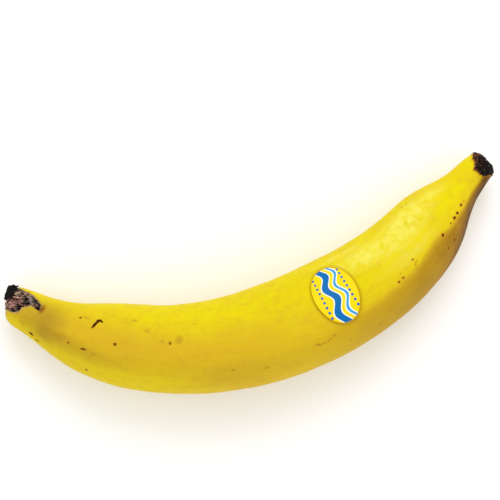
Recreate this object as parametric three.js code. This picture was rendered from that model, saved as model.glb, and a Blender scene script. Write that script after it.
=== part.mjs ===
// A ripe plantain lying on its side, with a small oval fruit label on its upper face.
// Millimetres, +Z up. +X runs along the chord from the torn stem end to the blossom end, +Y is the
// concave side, and the origin is the bottom centre of the whole fruit's box.
import * as THREE from "three";

// The middle line, seen from above, and half the thickness round it, at lengths from the stem end.
const STATIONS = [
  { at: 0, x: -125, y: 8.5, half: 10 },
  { at: 18, x: -111.7, y: -2.7, half: 11.5 },
  { at: 36, x: -97.7, y: -14.8, half: 15.8 },
  { at: 54, x: -82.5, y: -24, half: 20.1 },
  { at: 80, x: -58.5, y: -34.5, half: 22.4 },
  { at: 112, x: -27.5, y: -41.5, half: 24.1 },
  { at: 144, x: 4.5, y: -42, half: 25.4 },
  { at: 176, x: 36.5, y: -37, half: 25 },
  { at: 206, x: 64.5, y: -28, half: 22.9 },
  { at: 226, x: 82, y: -18.5, half: 20.9 },
  { at: 242, x: 95.5, y: -9, half: 17.3 },
  { at: 259, x: 110, y: 0.5, half: 10.4 },
  { at: 270, x: 118.5, y: 6, half: 8.6 },
  { at: 280, x: 127, y: 10.5, half: 7.2 },
];
const BOX_MIDDLE = { x: 0.7, y: -25 };
const TIP = 280.6;

// The line is highest at the belly, and both ends curve down towards the table.
const BELLY = { at: 143, height: 24.8 };
const SAG = 0.00064;

// The section has soft faces, each turned by an angle from the top towards the convex side, at a
// share of the half thickness from the middle. Ridges lie where two faces meet.
const FACES = [
  { turn: -10, share: 0.97 },
  { turn: 72, share: 0.99 },
  { turn: 124, share: 1.01 },
  { turn: 181, share: 0.98 },
  { turn: 246, share: 0.97 },
  { turn: 300, share: 0.99 },
];
const ROUND_SHARE = 0.3;
const CRISP = { belly: 5, ends: 8 };
const TWIST = 25;

// The peel is torn away over the upper concave side of the stem end, with a notch in its edge.
const TEAR = { least: 2, most: 15, turn: -35, spread: 58, recess: 1, lip: 0.25 };
const TEAR_WAVES = [
  { count: 5, height: 0.25, phase: 0 },
  { count: 11, height: 0.2, phase: 40 },
];
const NOTCH = { depth: 4.5, turn: -9, spread: 8 };
const STEM_START = -1.3;
const STEM_ROUNDING = { convex: 3.2, concave: 1.3 };
const KNOB = { at: 1, turn: -62, height: 1.8, reach: 3.2, spread: 30, push: 2.8 };
const TISSUE_RELIEF = 0.55;
const TISSUE_CROWDING = 1.6;

// The dried blossom cap: a blunt crusty dome with a shallow pit, on a slanting base line.
const CAP = { base: 274, sideSlant: 1.4, topSlant: 3.6, bluntness: 2.5, proud: 0.3, step: 0.2 };
const CAP_WAVES = [
  { count: 4, height: 0.3, phase: 20 },
  { count: 9, height: 0.25, phase: 0 },
];
const CAP_PIT = { depth: 0.9, radius: 2.2 };
const CRUST_RELIEF = 0.7;

// Three crossing waves, in radians a millimetre, lump the tissue and the crust. The lumps fade out
// within a small radius of the middle of each end.
const LUMP_WAVES = [
  { share: 0.45, up: 1.1, convex: 0.6, along: 0.9, phase: 0 },
  { share: 0.35, up: -0.9, convex: 1.4, along: -0.7, phase: 1 },
  { share: 0.2, up: 2.1, convex: 1.7, along: 1.9, phase: 2 },
];
const LUMP_FADE = 3;

// The oval label: half its size round the fruit and along it, and where its middle is.
const LABEL = { at: 174.2, turn: -14.4, halfRound: 15.4, halfAlong: 11.1, gap: 0.3, thick: 0.5 };

const SEGMENTS = 40;
const STEM_RINGS = 8;
const PEEL_RINGS = 56;
const CAP_RINGS = 7;
const RING_CROWDING = 0.6;
const LABEL_RINGS = 4;
const LABEL_SEGMENTS = 32;

const { cos, sin, exp, max, min, PI } = Math;
const radians = (degrees) => (degrees * PI) / 180;
const mix = (a, b, share) => a + (b - a) * share;

// The signed difference of two angles in degrees, from -180 to 180.
function turnBetween(from, to) {
  return ((((to - from) % 360) + 540) % 360) - 180;
}

function bump(distance, spread) {
  return exp(-((distance / spread) ** 2));
}

// A natural cubic spline through values[i] at knots[i].
function spline(knots, values) {
  const last = knots.length - 1;
  const gap = (i) => knots[i + 1] - knots[i];
  const slope = (i) => (values[i + 1] - values[i]) / gap(i);
  const bend = new Array(last + 1).fill(0);
  const scale = [0];
  const offset = [0];
  for (let i = 1; i < last; i += 1) {
    const pivot = 2 * (gap(i - 1) + gap(i)) - gap(i - 1) * scale[i - 1];
    scale[i] = gap(i) / pivot;
    offset[i] = (6 * (slope(i) - slope(i - 1)) - gap(i - 1) * offset[i - 1]) / pivot;
  }
  for (let i = last - 1; i > 0; i -= 1) {
    bend[i] = offset[i] - scale[i] * bend[i + 1];
  }
  return (at) => {
    let i = 0;
    while (i < last - 1 && at > knots[i + 1]) {
      i += 1;
    }
    const after = at - knots[i];
    const before = knots[i + 1] - at;
    const cubic = (bend[i] * before ** 3 + bend[i + 1] * after ** 3) / (6 * gap(i));
    const left = (values[i] / gap(i) - (bend[i] * gap(i)) / 6) * before;
    const right = (values[i + 1] / gap(i) - (bend[i + 1] * gap(i)) / 6) * after;
    return cubic + left + right;
  };
}

const lengths = STATIONS.map((station) => station.at);
const lineX = spline(lengths, STATIONS.map((station) => station.x - BOX_MIDDLE.x));
const lineY = spline(lengths, STATIONS.map((station) => station.y - BOX_MIDDLE.y));
const halfThickness = spline(lengths, STATIONS.map((station) => station.half));

function middle(at) {
  return new THREE.Vector3(lineX(at), lineY(at), BELLY.height - SAG * (at - BELLY.at) ** 2);
}

// A point at a length along the fruit, a turn from the top towards the convex side, and a radius.
function place(at, turn, radius) {
  const along = middle(at + 0.5).sub(middle(at - 0.5)).normalize();
  const convex = new THREE.Vector3(along.y, -along.x, 0).normalize();
  const up = new THREE.Vector3().crossVectors(convex, along);
  return middle(at)
    .addScaledVector(up, radius * cos(radians(turn)))
    .addScaledVector(convex, radius * sin(radians(turn)));
}

// The section's radius as a share of the half thickness.
function section(at, turn) {
  const crisp = mix(CRISP.belly, CRISP.ends, (2 * at / TIP - 1) ** 2);
  const twist = TWIST * (1 - at / TIP);
  let sum = 0;
  for (const face of FACES) {
    const facing = max(0, cos(radians(turn + twist - face.turn)));
    sum += (facing / face.share) ** crisp;
  }
  return ROUND_SHARE + (1 - ROUND_SHARE) * sum ** (-1 / crisp);
}

// How far the stem end has rounded off at a length.
function stemRounding(at, turn) {
  const convexity = (1 + sin(radians(turn))) / 2;
  const reach = mix(STEM_ROUNDING.concave, STEM_ROUNDING.convex, convexity);
  return 1 - exp(-(at - STEM_START) / reach);
}

function peelRadius(at, turn) {
  return halfThickness(at) * section(at, turn) * stemRounding(at, turn);
}

// Lumps a few millimetres across, from -1 to 1, for torn tissue and crust.
function lumps(at, turn, radius) {
  const up = radius * cos(radians(turn));
  const convex = radius * sin(radians(turn));
  let sum = 0;
  for (const wave of LUMP_WAVES) {
    sum += wave.share * sin(wave.up * up + wave.convex * convex + wave.along * at + wave.phase);
  }
  return sum * min(1, radius / LUMP_FADE);
}

// How far a ragged edge strays at a turn, from waves counted round the fruit.
function ragged(waves, turn) {
  let sum = 0;
  for (const wave of waves) {
    sum += wave.height * sin(radians(wave.count * turn + wave.phase));
  }
  return sum;
}

// The length at which the peel starts, round the torn stem end.
function tearLine(turn) {
  const tongue = bump(turnBetween(TEAR.turn, turn), TEAR.spread);
  const notch = bump(turnBetween(NOTCH.turn, turn), NOTCH.spread);
  return mix(TEAR.least, TEAR.most, tongue) + NOTCH.depth * notch + ragged(TEAR_WAVES, turn);
}

// The length at which the dried cap starts, round the blossom end.
function capLine(turn) {
  const slant = CAP.sideSlant * sin(radians(turn)) + CAP.topSlant * cos(radians(turn));
  return CAP.base - slant + ragged(CAP_WAVES, turn);
}

// Torn tissue from the middle of the stem end, at share 0, out to the peel, at share 1.
function tissuePoint(share, turn) {
  const at = mix(STEM_START, tearLine(turn), share ** TISSUE_CROWDING);
  const skin = peelRadius(at, turn);
  const relief = TISSUE_RELIEF * lumps(at, turn, skin);
  const knob = bump(turnBetween(KNOB.turn, turn), KNOB.spread) * bump(at - KNOB.at, KNOB.reach);
  const radius = skin - TEAR.recess * share ** 2 + relief + KNOB.height * knob;
  return place(at - KNOB.push * knob, turn, radius);
}

function peelPoint(share, turn) {
  const eased = share - (RING_CROWDING * sin(2 * PI * share)) / (2 * PI);
  const at = mix(tearLine(turn) + TEAR.lip, capLine(turn), eased);
  return place(at, turn, peelRadius(at, turn));
}

// Crust from the cap's base line, at share 0, to the tip, at share 1.
function crustPoint(share, turn) {
  const start = capLine(turn);
  const power = 2 / CAP.bluntness;
  const dome = mix(start + CAP.step, TIP, sin((PI * share) / 2) ** power);
  const narrowing = cos((PI * share) / 2) ** power;
  const skin = (peelRadius(start, turn) + CAP.proud) * narrowing;
  const radius = skin + CRUST_RELIEF * lumps(dome, turn, skin);
  return place(dome - CAP_PIT.depth * bump(skin, CAP_PIT.radius), turn, radius);
}

// A closed surface from a first point over rings of points to a last one, with its faces out.
function closedSurface(first, rings, last) {
  const count = rings[0].length;
  const points = [first, ...rings.flat(), last];
  const triangles = [];
  const corner = (ring, step) => 1 + ring * count + (step % count);
  for (let step = 0; step < count; step += 1) {
    triangles.push(0, corner(0, step + 1), corner(0, step));
    triangles.push(points.length - 1, corner(rings.length - 1, step), corner(rings.length - 1, step + 1));
    for (let ring = 0; ring + 1 < rings.length; ring += 1) {
      const near = [corner(ring, step), corner(ring, step + 1)];
      const far = [corner(ring + 1, step), corner(ring + 1, step + 1)];
      triangles.push(near[0], near[1], far[0]);
      triangles.push(near[1], far[1], far[0]);
    }
  }
  const geometry = new THREE.BufferGeometry().setFromPoints(points);
  geometry.setIndex(triangles);
  geometry.computeVertexNormals();
  return geometry;
}

// The fruit is pressed flat where it would reach below the table.
function rested(point) {
  return point.setZ(max(0, point.z));
}

function fruitGeometry() {
  const turns = Array.from({ length: SEGMENTS }, (_, step) => (360 * step) / SEGMENTS);
  const ring = (pointAt, share) => turns.map((turn) => rested(pointAt(share, turn)));
  const rings = [];
  for (let step = 1; step <= STEM_RINGS; step += 1) {
    rings.push(ring(tissuePoint, step / STEM_RINGS));
  }
  for (let step = 0; step <= PEEL_RINGS; step += 1) {
    rings.push(ring(peelPoint, step / PEEL_RINGS));
  }
  for (let step = 0; step < CAP_RINGS; step += 1) {
    rings.push(ring(crustPoint, step / CAP_RINGS));
  }
  return closedSurface(place(STEM_START, 0, 0), rings, place(TIP - CAP_PIT.depth, 0, 0));
}

// A point of the label at a share of its size from its middle, raised over the peel.
function labelPoint(share, angle, raised) {
  const at = LABEL.at + share * LABEL.halfAlong * cos(angle);
  const arc = share * LABEL.halfRound * sin(angle);
  const turn = LABEL.turn + arc / radians(peelRadius(LABEL.at, LABEL.turn));
  return place(at, turn, peelRadius(at, turn) + raised);
}

function labelGeometry() {
  const top = LABEL.gap + LABEL.thick;
  const angles = Array.from({ length: LABEL_SEGMENTS }, (_, step) => (2 * PI * step) / LABEL_SEGMENTS);
  const ring = (share, raised) => angles.map((angle) => labelPoint(share, angle, raised));
  const shares = Array.from({ length: LABEL_RINGS }, (_, step) => (step + 1) / LABEL_RINGS);
  const upper = shares.map((share) => ring(share, top));
  const lower = shares.map((share) => ring(share, LABEL.gap)).reverse();
  const rings = [...upper, ...lower];
  return closedSurface(labelPoint(0, 0, top), rings, labelPoint(0, 0, LABEL.gap));
}

function part(name, geometry, finish) {
  const mesh = new THREE.Mesh(geometry, new THREE.MeshStandardMaterial(finish));
  mesh.name = name;
  return mesh;
}

const plantain = new THREE.Group();
plantain.add(part("plantain", fruitGeometry(), { color: 0xe6cc1e, roughness: 0.42, metalness: 0 }));
plantain.add(part("label", labelGeometry(), { color: 0xffd900, roughness: 0.35, metalness: 0 }));

export default plantain;
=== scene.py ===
"""A ripe plantain lying on its side, with a small oval label, in a soft white studio.

The dressed fruit keeps the middle line, ridges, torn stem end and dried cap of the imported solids,
with a finer surface. Sizes are in millimetres and become metres where a mesh is made. A length "at"
runs along the fruit from its stem end, and a "turn" runs from the top towards the convex side.
"""

import logging
import math
from collections.abc import Callable, Sequence
from dataclasses import dataclass
from enum import Enum, IntEnum
from functools import cached_property

import bpy
import numpy as np
from mathutils import Matrix, Vector


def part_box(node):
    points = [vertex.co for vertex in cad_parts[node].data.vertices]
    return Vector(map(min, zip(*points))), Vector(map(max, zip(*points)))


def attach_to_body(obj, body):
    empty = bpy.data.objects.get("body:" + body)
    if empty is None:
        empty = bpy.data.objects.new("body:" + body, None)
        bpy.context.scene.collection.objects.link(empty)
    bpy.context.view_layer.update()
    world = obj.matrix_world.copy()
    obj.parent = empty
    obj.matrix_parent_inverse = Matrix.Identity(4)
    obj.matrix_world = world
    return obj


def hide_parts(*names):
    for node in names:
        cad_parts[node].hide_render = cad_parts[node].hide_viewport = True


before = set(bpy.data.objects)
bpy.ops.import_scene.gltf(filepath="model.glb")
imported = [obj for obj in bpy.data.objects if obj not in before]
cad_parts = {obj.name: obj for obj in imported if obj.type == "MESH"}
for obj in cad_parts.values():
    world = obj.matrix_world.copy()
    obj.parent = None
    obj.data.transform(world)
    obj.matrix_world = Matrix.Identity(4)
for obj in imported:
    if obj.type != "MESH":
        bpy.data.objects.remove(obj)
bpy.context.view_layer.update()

MM = 0.001
Array = np.ndarray
Tree = bpy.types.NodeTree
Material = bpy.types.Material
Thing = bpy.types.Object
Socket = bpy.types.NodeSocket
Shade = bpy.types.NodeSocket | tuple[float, float, float, float]
log = logging.getLogger("plantain")


class Zone(IntEnum):
    """The finish that a face of the fruit has."""

    PEEL = 0
    TORN_TISSUE = 1
    DRIED_CAP = 2


class Slot(str, Enum):
    """The record's material slots."""

    PEEL = "peel"
    TORN_TISSUE = "torn_tissue"
    DRIED_CAP = "dried_cap"
    LABEL = "label"


BODY = "root"


def mix(a: float | Array, b: float | Array, share: float | Array) -> float | Array:
    """Returns the value at a share of the way from a to b."""
    return a + (b - a) * share


def bump(distance: float | Array, spread: float) -> float | Array:
    """Returns a smooth hump, 1 at no distance and fading out past the spread."""
    return np.exp(-((distance / spread) ** 2))


def turn_between(start: float, turn: Array) -> Array:
    """Returns the signed difference of two angles in degrees, from -180 to 180."""
    return (turn - start + 540) % 360 - 180


def sine(degrees: float | Array) -> float | Array:
    """Returns the sine of an angle in degrees."""
    return np.sin(np.radians(degrees))


def cosine(degrees: float | Array) -> float | Array:
    """Returns the cosine of an angle in degrees."""
    return np.cos(np.radians(degrees))


def natural_spline(knots: Array, values: Array) -> Callable[[Array], Array]:
    """Makes a natural cubic spline.

    Args:
        knots: Where the values are given, rising.
        values: The value at each knot.

    Returns:
        A function of a length that gives the spline's value there.
    """
    count = len(knots)
    gaps = np.diff(knots)
    slopes = np.diff(values) / gaps
    rows = np.eye(count)
    wanted = np.zeros(count)
    for i in range(1, count - 1):
        rows[i, i - 1:i + 2] = gaps[i - 1], 2 * (gaps[i - 1] + gaps[i]), gaps[i]
        wanted[i] = 6 * (slopes[i] - slopes[i - 1])
    bend = np.linalg.solve(rows, wanted)

    def value_at(at: Array) -> Array:
        """Returns the spline's value at each length."""
        at = np.asarray(at, float)
        i = np.clip(np.searchsorted(knots, at) - 1, 0, count - 2)
        after = at - knots[i]
        before = knots[i + 1] - at
        cubic = (bend[i] * before**3 + bend[i + 1] * after**3) / (6 * gaps[i])
        left = (values[i] / gaps[i] - bend[i] * gaps[i] / 6) * before
        right = (values[i + 1] / gaps[i] - bend[i + 1] * gaps[i] / 6) * after
        return cubic + left + right

    return value_at


@dataclass(frozen=True)
class Station:
    """A place on the middle line, seen from above, with half the thickness round it."""

    at: float
    x: float
    y: float
    half: float


@dataclass(frozen=True)
class Wave:
    """One wave of a ragged edge, counted round the fruit."""

    count: int
    height: float
    phase: float


@dataclass(frozen=True)
class SkinWave:
    """One shallow wave of the peel, counted round the fruit, with its pace along it."""

    height: float
    along: float
    count: int
    phase: float


@dataclass(frozen=True)
class Lump:
    """One wave of the lumps, with its pace up, towards the convex side and along the fruit."""

    height: float
    up: float
    convex: float
    along: float
    phase: float


@dataclass(frozen=True)
class EdgePlace:
    """A place that an edge round the fruit passes through."""

    turn: float
    at: float


@dataclass(frozen=True)
class Hollow:
    """A hollow torn into the tissue: its place, its reach along and round, and its depth."""

    at: float
    turn: float
    reach: float
    spread: float
    depth: float


STATIONS = (
    Station(0, -125, 8.5, 10), Station(18, -111.7, -2.7, 11.5), Station(36, -97.7, -14.8, 15.8),
    Station(54, -82.5, -24, 20.1), Station(80, -58.5, -34.5, 22.4), Station(112, -27.5, -41.5, 24.1),
    Station(144, 4.5, -42, 25.4), Station(176, 36.5, -37, 25), Station(206, 64.5, -28, 22.9),
    Station(226, 82, -18.5, 20.9), Station(242, 95.5, -9, 17.3), Station(259, 110, 0.5, 10.4),
    Station(270, 118.5, 6, 8.6), Station(280, 127, 10.5, 7.2),
)
# A tongue of peel is torn off the top of the stem end, with a deep notch beside it that leans over.
TEAR_EDGE = (
    EdgePlace(-78, 2.2), EdgePlace(-69, 3), EdgePlace(-65, 9), EdgePlace(-57, 12.8), EdgePlace(-51, 14.2),
    EdgePlace(-48, 16.4), EdgePlace(-45, 18.2), EdgePlace(-34, 19.4), EdgePlace(-27.5, 18.6),
    EdgePlace(-25.5, 17.2), EdgePlace(-22, 14.4), EdgePlace(-15.5, 12.9), EdgePlace(-6, 10.9),
    EdgePlace(5.5, 10), EdgePlace(14.5, 8.8), EdgePlace(18, 6.3), EdgePlace(21.5, 3.5), EdgePlace(32, 2.4),
    EdgePlace(120, 2),
)
# The dried cap reaches further down over the top than at the sides.
CAP_EDGE = (
    EdgePlace(-120, 276.4), EdgePlace(-75, 277), EdgePlace(-42, 274.4), EdgePlace(-22, 272.6),
    EdgePlace(-11, 270.5), EdgePlace(14, 270.3), EdgePlace(26, 270.9), EdgePlace(43, 274.4),
    EdgePlace(75, 277), EdgePlace(150, 275.8),
)
TEAR_WAVES = (Wave(11, 0.2, 40), Wave(23, 0.18, 15), Wave(41, 0.14, 70))
CAP_WAVES = (Wave(9, 0.25, 0), Wave(19, 0.16, 50), Wave(37, 0.12, 10))
SKIN_WAVES = (SkinWave(0.5, 0.19, 2, 1), SkinWave(0.3, 0.31, -3, 2), SkinWave(0.2, 0.53, 5, 0))
LUMPS = (Lump(0.45, 1.1, 0.6, 0.9, 0), Lump(0.35, -0.9, 1.4, -0.7, 1), Lump(0.2, 2.1, 1.7, 1.9, 2))
HOLLOWS = (
    Hollow(9.8, -42, 1.4, 8, 1.6), Hollow(11.8, -28, 1.5, 7, 1.7), Hollow(17.6, -23, 1.9, 11, 2.3),
    Hollow(9.2, -3, 1.1, 7, 1.2), Hollow(6.6, 12, 1.0, 6, 1.1), Hollow(13.6, -50, 0.9, 4, 0.9),
)


@dataclass(frozen=True)
class FruitShape:
    """The rule of the fruit's form: a soft-faced section swept along a curved middle line."""

    stations: tuple[Station, ...] = STATIONS
    box_middle: tuple[float, float] = (0.7, -25.0)
    tip: float = 280.6
    belly_at: float = 143.0
    belly_height: float = 24.8
    sag: float = 0.00064
    face_turns: tuple[float, ...] = (-10, 72, 124, 181, 246, 300)
    face_shares: tuple[float, ...] = (0.97, 0.99, 1.01, 0.98, 0.97, 0.99)
    round_share: float = 0.3
    crisp_belly: float = 5
    crisp_ends: float = 8
    twist: float = 25
    stem_start: float = -1.3
    rounding_convex: float = 3.2
    rounding_concave: float = 1.3
    tear_recess: float = 1
    lip_radius: float = 0.7
    lip_reach: float = 0.6
    lip_gap: float = 0.1
    knob_at: float = 1
    knob_turn: float = -62
    knob_height: float = 1.8
    knob_reach: float = 3.2
    knob_spread: float = 30
    knob_push: float = 2.8
    tissue_crowding: float = 1.6
    cap_bluntness: float = 2.5
    cap_proud: float = -0.1
    cap_step: float = 0.2
    pit_depth: float = 0.9
    pit_radius: float = 2.2
    tissue_relief: float = 0.55
    crust_relief: float = 0.7
    lump_fade: float = 3
    unevenness: float = 0.13
    lean_from: float = 13.8
    lean_to: float = 19.0
    lean_turn: float = 13.0
    lean_middle: float = -35.0
    lean_spread: float = 17.0
    lean_fade: tuple[float, float] = (30.0, 90.0)

    @cached_property
    def _lines(self) -> tuple[Callable[[Array], Array], ...]:
        """The splines of x, y and half the thickness."""
        at = np.array([s.at for s in self.stations], float)
        x = np.array([s.x for s in self.stations]) - self.box_middle[0]
        y = np.array([s.y for s in self.stations]) - self.box_middle[1]
        half = np.array([s.half for s in self.stations], float)
        return natural_spline(at, x), natural_spline(at, y), natural_spline(at, half)

    def middle(self, at: Array) -> Array:
        """Returns the middle line's points at some lengths."""
        line_x, line_y, _ = self._lines
        height = self.belly_height - self.sag * (at - self.belly_at) ** 2
        return np.stack([line_x(at), line_y(at), height], -1)

    def directions(self, at: Array) -> tuple[Array, Array, Array]:
        """Gives the fruit's own directions.

        Args:
            at: Lengths along the fruit.

        Returns:
            The unit vectors along the fruit, towards its convex side, and up.
        """
        along = self.middle(at + 0.5) - self.middle(at - 0.5)
        along /= np.linalg.norm(along, axis=-1, keepdims=True)
        convex = np.stack([along[..., 1], -along[..., 0], np.zeros_like(along[..., 0])], -1)
        convex /= np.linalg.norm(convex, axis=-1, keepdims=True)
        return along, convex, np.cross(convex, along)

    def place(self, at: Array, turn: Array, radius: Array) -> Array:
        """Gives points by their place on the fruit.

        Args:
            at: Lengths along the fruit.
            turn: Turns from the top, in degrees.
            radius: Distances from the middle line.

        Returns:
            The points, in millimetres.
        """
        _, convex, up = self.directions(at)
        outward = up * cosine(turn)[..., None] + convex * sine(turn)[..., None]
        return self.middle(at) + outward * np.asarray(radius)[..., None]

    def section(self, at: Array, turn: Array) -> Array:
        """Returns the section's radius as a share of half the thickness."""
        crisp = mix(self.crisp_belly, self.crisp_ends, (2 * at / self.tip - 1) ** 2)
        twisted = turn + self.twist * (1 - at / self.tip)
        total = np.zeros_like(twisted)
        for face_turn, share in zip(self.face_turns, self.face_shares):
            total = total + (np.maximum(0, cosine(twisted - face_turn)) / share) ** crisp
        return mix(total ** (-1 / crisp), 1, self.round_share)

    def peel_radius(self, at: Array, turn: Array) -> Array:
        """Returns the distance of the peel's surface from the middle line."""
        reach = mix(self.rounding_concave, self.rounding_convex, (1 + sine(turn)) / 2)
        rounding = 1 - np.exp(-(at - self.stem_start) / reach)
        return self._lines[2](at) * self.section(at, turn) * rounding

    def skin_radius(self, at: Array, turn: Array) -> Array:
        """Returns the peel's radius with its shallow unevenness, never outside the peel's own."""
        waves = sum(
            w.height * np.sin(w.along * at + np.radians(w.count * turn) + w.phase) for w in SKIN_WAVES)
        return self.peel_radius(at, turn) - self.unevenness * (1 + waves)

    def lumps(self, at: Array, turn: Array, radius: Array) -> Array:
        """Returns the coarse lumps of torn tissue and crust, from -1 to 1."""
        up, convex = radius * cosine(turn), radius * sine(turn)
        lumps = sum(w.height * np.sin(w.up * up + w.convex * convex + w.along * at + w.phase) for w in LUMPS)
        return lumps * np.minimum(1, radius / self.lump_fade)

    @staticmethod
    def edge_line(places: Sequence[EdgePlace], waves: Sequence[Wave], turn: Array) -> Array:
        """Follows an edge round the fruit.

        Args:
            places: The places it passes through, by rising turn.
            waves: The small waves that make it ragged.
            turn: Where round the fruit it is wanted.

        Returns:
            The length at which the edge lies at each turn.
        """
        line = np.interp(turn, [p.turn for p in places], [p.at for p in places], period=360)
        return line + sum(wave.height * sine(wave.count * turn + wave.phase) for wave in waves)

    def tear_line(self, turn: Array) -> Array:
        """Returns the length at which the peel starts, round the torn stem end."""
        return self.edge_line(TEAR_EDGE, TEAR_WAVES, turn)

    def cap_line(self, turn: Array) -> Array:
        """Returns the length at which the dried cap starts, round the blossom end."""
        return self.edge_line(CAP_EDGE, CAP_WAVES, turn)

    def lean(self, at: Array, line: Array) -> Array:
        """Returns how far a line along the fruit leans round it past the tongue of peel, in degrees."""
        rise = np.clip((at - self.lean_from) / (self.lean_to - self.lean_from), 0, 1)
        fall = np.clip((at - self.lean_fade[0]) / (self.lean_fade[1] - self.lean_fade[0]), 0, 1)
        beside = bump(turn_between(self.lean_middle, line), self.lean_spread)
        return beside * self.lean_turn * rise**2 * (3 - 2 * rise) * (1 - fall**2 * (3 - 2 * fall))

    @staticmethod
    def hollow(at: Array, turn: Array) -> tuple[Array, Array]:
        """Gives the hollows of the torn tissue.

        Args:
            at: Lengths along the fruit.
            turn: Turns from the top.

        Returns:
            How deep they are there, and how far a place is into one, from 0 to 1.
        """
        depth, inside = np.zeros_like(at), np.zeros_like(at)
        for hole in HOLLOWS:
            one = bump(turn_between(hole.turn, turn), hole.spread) * bump(at - hole.at, hole.reach)
            depth, inside = depth + hole.depth * one, np.maximum(inside, one)
        return depth, inside

    def knob(self, at: Array, turn: Array) -> Array:
        """Returns how far a place is into the stub of old stalk, from 0 to 1."""
        beside = bump(turn_between(self.knob_turn, turn), self.knob_spread)
        return beside * bump(at - self.knob_at, self.knob_reach)


@dataclass
class SurfaceGrid:
    """Rings of places on the fruit: rows of lengths, turns, radii and lines, and a zone for each ring."""

    at: Array
    turn: Array
    radius: Array
    line: Array
    zone: Array


def closed_faces(rings: int, steps: int) -> Array:
    """Joins rings of points into a closed surface.

    Args:
        rings: How many rings there are between the first point and the last.
        steps: How many points each ring has.

    Returns:
        The corners of the triangles, facing out, numbered from the first point 0.
    """
    step = np.arange(steps)
    after = (step + 1) % steps
    last_ring = 1 + (rings - 1) * steps
    first_pole = np.zeros(steps, int)
    last_pole = np.full(steps, 1 + rings * steps)
    triangles = [np.stack([first_pole, 1 + after, 1 + step], -1)]
    for ring in range(rings - 1):
        near = 1 + ring * steps
        far = near + steps
        triangles.append(np.stack([near + step, near + after, far + step], -1))
        triangles.append(np.stack([near + after, far + after, far + step], -1))
    triangles.append(np.stack([last_pole, last_ring + step, last_ring + after], -1))
    return np.concatenate(triangles)


def show(name: str, data: bpy.types.ID) -> Thing:
    """Returns a new object of a name with its data, linked to the scene."""
    thing = bpy.data.objects.new(name, data)
    bpy.context.scene.collection.objects.link(thing)
    return thing


def mesh_object(name: str, points: Array, faces: Array) -> Thing:
    """Makes an object at the origin from points in millimetres.

    Args:
        name: The object's name.
        points: The points, one row each.
        faces: The corners of each triangle.

    Returns:
        The object, linked to the scene.
    """
    mesh = bpy.data.meshes.new(name)
    mesh.from_pydata((points * MM).tolist(), [], faces.tolist())
    mesh.shade_smooth()
    return show(name, mesh)


def keep_value(mesh: bpy.types.Mesh, name: str, values: Array, domain: str = "POINT") -> None:
    """Keeps a value for each point or face of a mesh.

    Args:
        mesh: The mesh.
        name: The attribute's name.
        values: Whole numbers, numbers or rows of three.
        domain: POINT or FACE.
    """
    values = np.asarray(values)
    if values.ndim == 2:
        attribute = mesh.attributes.new(name, "FLOAT_VECTOR", domain)
        attribute.data.foreach_set("vector", values.astype(np.float32).ravel())
    elif values.dtype.kind == "i":
        attribute = mesh.attributes.new(name, "INT", domain)
        attribute.data.foreach_set("value", values.astype(np.int32))
    else:
        attribute = mesh.attributes.new(name, "FLOAT", domain)
        attribute.data.foreach_set("value", values.astype(np.float32))


def colour(code: str) -> tuple[float, float, float, float]:
    """Returns the linear colour, with full alpha, of an sRGB hex code such as #e6cc1e."""
    shares = [int(code[i:i + 2], 16) / 255 for i in (1, 3, 5)]
    linear = [s / 12.92 if s <= 0.04045 else ((s + 0.055) / 1.055) ** 2.4 for s in shares]
    return linear[0], linear[1], linear[2], 1.0


class Node(Enum):
    """The kinds of node in the trees."""

    ATTRIBUTE = "ShaderNodeAttribute"
    BACKGROUND = "ShaderNodeBackground"
    PRINCIPLED = "ShaderNodeBsdfPrincipled"
    BUMP = "ShaderNodeBump"
    COMBINE = "ShaderNodeCombineXYZ"
    MAPPING = "ShaderNodeMapping"
    RANGE = "ShaderNodeMapRange"
    MATH = "ShaderNodeMath"
    MIX = "ShaderNodeMix"
    MATERIAL_OUTPUT = "ShaderNodeOutputMaterial"
    WORLD_OUTPUT = "ShaderNodeOutputWorld"
    SEPARATE = "ShaderNodeSeparateXYZ"
    COORDINATE = "ShaderNodeTexCoord"
    NOISE = "ShaderNodeTexNoise"
    VORONOI = "ShaderNodeTexVoronoi"
    VECTOR = "ShaderNodeVectorMath"
    ALIGN = "FunctionNodeAlignRotationToVector"
    COMPARE = "FunctionNodeCompare"
    RANDOM = "FunctionNodeRandomValue"
    STREW = "GeometryNodeDistributePointsOnFaces"
    KEPT = "GeometryNodeInputNamedAttribute"
    NORMAL = "GeometryNodeInputNormal"
    POSITION = "GeometryNodeInputPosition"
    INSTANCE = "GeometryNodeInstanceOnPoints"
    CONE = "GeometryNodeMeshCone"
    BALL = "GeometryNodeMeshIcoSphere"
    REALIZE = "GeometryNodeRealizeInstances"
    SET_MATERIAL = "GeometryNodeSetMaterial"
    SET_POSITION = "GeometryNodeSetPosition"
    KEEP = "GeometryNodeStoreNamedAttribute"
    TREE_OUTPUT = "NodeGroupOutput"


# Settings that several nodes have.
SMOOTH = {"interpolation_type": "SMOOTHSTEP"}
COLOURS = {"data_type": "RGBA"}
NUMBERS = {"data_type": "FLOAT"}
VECTORS = {"data_type": "FLOAT_VECTOR"}
SAME_NUMBER = {"data_type": "INT", "operation": "EQUAL"}
MULTIPLY = {"operation": "MULTIPLY"}
MULTIPLY_ADD = {"operation": "MULTIPLY_ADD"}


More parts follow.
